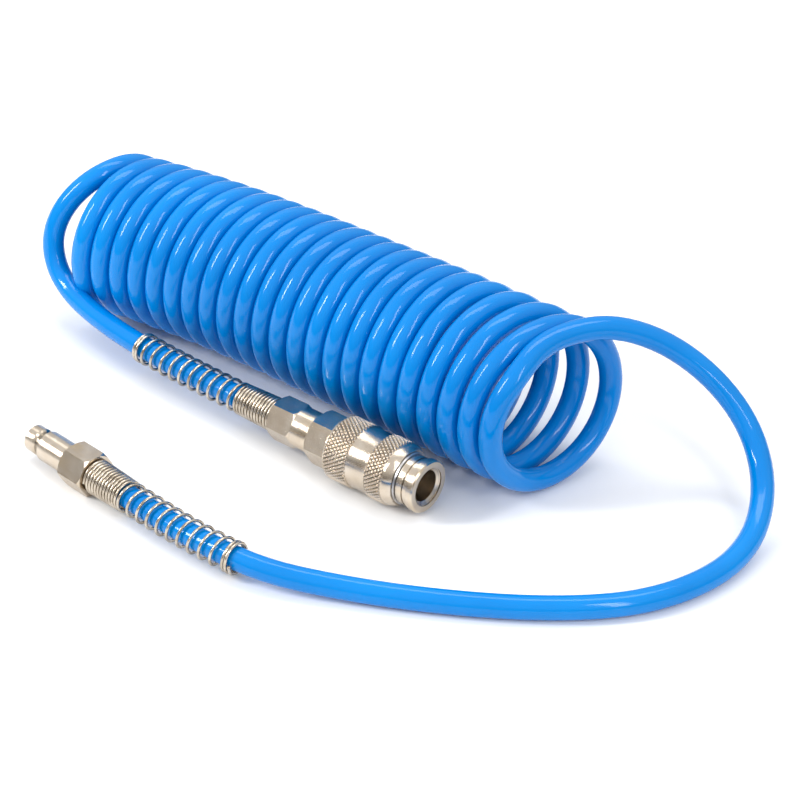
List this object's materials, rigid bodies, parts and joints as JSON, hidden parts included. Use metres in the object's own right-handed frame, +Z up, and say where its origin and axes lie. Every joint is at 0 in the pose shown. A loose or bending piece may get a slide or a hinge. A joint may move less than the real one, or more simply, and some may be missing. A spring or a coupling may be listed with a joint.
{
  "type": "coiled air hose",
  "caption": "Blue coiled polyurethane air hose with a quick-release coupler at one end, a plug at the other and spring guards on both.",
  "frame": {"origin": "centre of the whole object's footprint, on the surface that it lies on", "axes": "+X along the coil and out of the coupler's mouth, +Y from the fittings' side towards the coil, +Z up"},
  "size_m": [0.2909, 0.1596, 0.0635],
  "materials": {
    "blue_polyurethane": "gloss",
    "nickel_plated_brass": "polished",
    "bare_brass": "satin",
    "plated_spring_wire": "polished",
    "stainless_spring_steel": "satin",
    "hardened_steel_ball": "polished",
    "nitrile_rubber": "satin"
  },
  "bodies": {
    "hose": {"hose_coil": "blue_polyurethane", "hose_tail_coupler": "blue_polyurethane", "hose_tail_plug": "blue_polyurethane", "coupler_body": "nickel_plated_brass", "sleeve_retaining_ring": "stainless_spring_steel", "socket_seal": "nitrile_rubber", "valve_spring": "stainless_spring_steel", "coupler_adapter": "nickel_plated_brass", "adapter_seal": "nitrile_rubber", "coupler_clamp_nut": "nickel_plated_brass", "coupler_guard_spring": "plated_spring_wire", "plug_body": "nickel_plated_brass", "plug_clamp_nut": "nickel_plated_brass", "plug_guard_spring": "plated_spring_wire"},
    "sleeve_carrier": {"sleeve_spring": "stainless_spring_steel"},
    "release_sleeve": {"coupler_sleeve": "nickel_plated_brass"},
    "valve": {"valve_poppet": "bare_brass", "valve_seal": "nitrile_rubber"},
    "ball_1": {"locking_ball_1": "hardened_steel_ball"},
    "ball_2": {"locking_ball_2": "hardened_steel_ball"},
    "ball_3": {"locking_ball_3": "hardened_steel_ball"},
    "ball_4": {"locking_ball_4": "hardened_steel_ball"},
    "ball_5": {"locking_ball_5": "hardened_steel_ball"},
    "ball_6": {"locking_ball_6": "hardened_steel_ball"}
  },
  "joints": [
    {"name": "sleeve_spin", "type": "hinge", "parent": "hose", "child": "sleeve_carrier", "pos_m": [0.0476, -0.0057, 0.0115], "axis": [1, 0, 0], "continuous": true},
    {"name": "sleeve_slide", "type": "slide", "parent": "sleeve_carrier", "child": "release_sleeve", "axis": [-1, 0, 0], "range_m": [0, 0.003], "stiffness_N_per_m": 2500, "springref_m": -0.004, "deforming": ["sleeve_spring"]},
    {"name": "valve_slide", "type": "slide", "parent": "hose", "child": "valve", "axis": [-1, 0, 0], "range_m": [0, 0.004], "stiffness_N_per_m": 600, "springref_m": -0.004, "deforming": ["valve_spring"]},
    {"name": "ball_1_lift", "type": "slide", "parent": "hose", "child": "ball_1", "axis": [0, 0.866, 0.5], "range_m": [0, 0.0013]},
    {"name": "ball_2_lift", "type": "slide", "parent": "hose", "child": "ball_2", "axis": [0, 0, 1], "range_m": [0, 0.0013]},
    {"name": "ball_3_lift", "type": "slide", "parent": "hose", "child": "ball_3", "axis": [0, -0.866, 0.5], "range_m": [0, 0.0013]},
    {"name": "ball_4_lift", "type": "slide", "parent": "hose", "child": "ball_4", "axis": [0, -0.866, -0.5], "range_m": [0, 0.0013]},
    {"name": "ball_5_lift", "type": "slide", "parent": "hose", "child": "ball_5", "axis": [0, 0, -1], "range_m": [0, 0.0013]},
    {"name": "ball_6_lift", "type": "slide", "parent": "hose", "child": "ball_6", "axis": [0, 0.866, -0.5], "range_m": [0, 0.0013]}
  ],
  "couplings": [
    {"joint": "ball_1_lift", "follows": "sleeve_slide", "ratio": 0.4333},
    {"joint": "ball_2_lift", "follows": "sleeve_slide", "ratio": 0.4333},
    {"joint": "ball_3_lift", "follows": "sleeve_slide", "ratio": 0.4333},
    {"joint": "ball_4_lift", "follows": "sleeve_slide", "ratio": 0.4333},
    {"joint": "ball_5_lift", "follows": "sleeve_slide", "ratio": 0.4333},
    {"joint": "ball_6_lift", "follows": "sleeve_slide", "ratio": 0.4333}
  ]
}
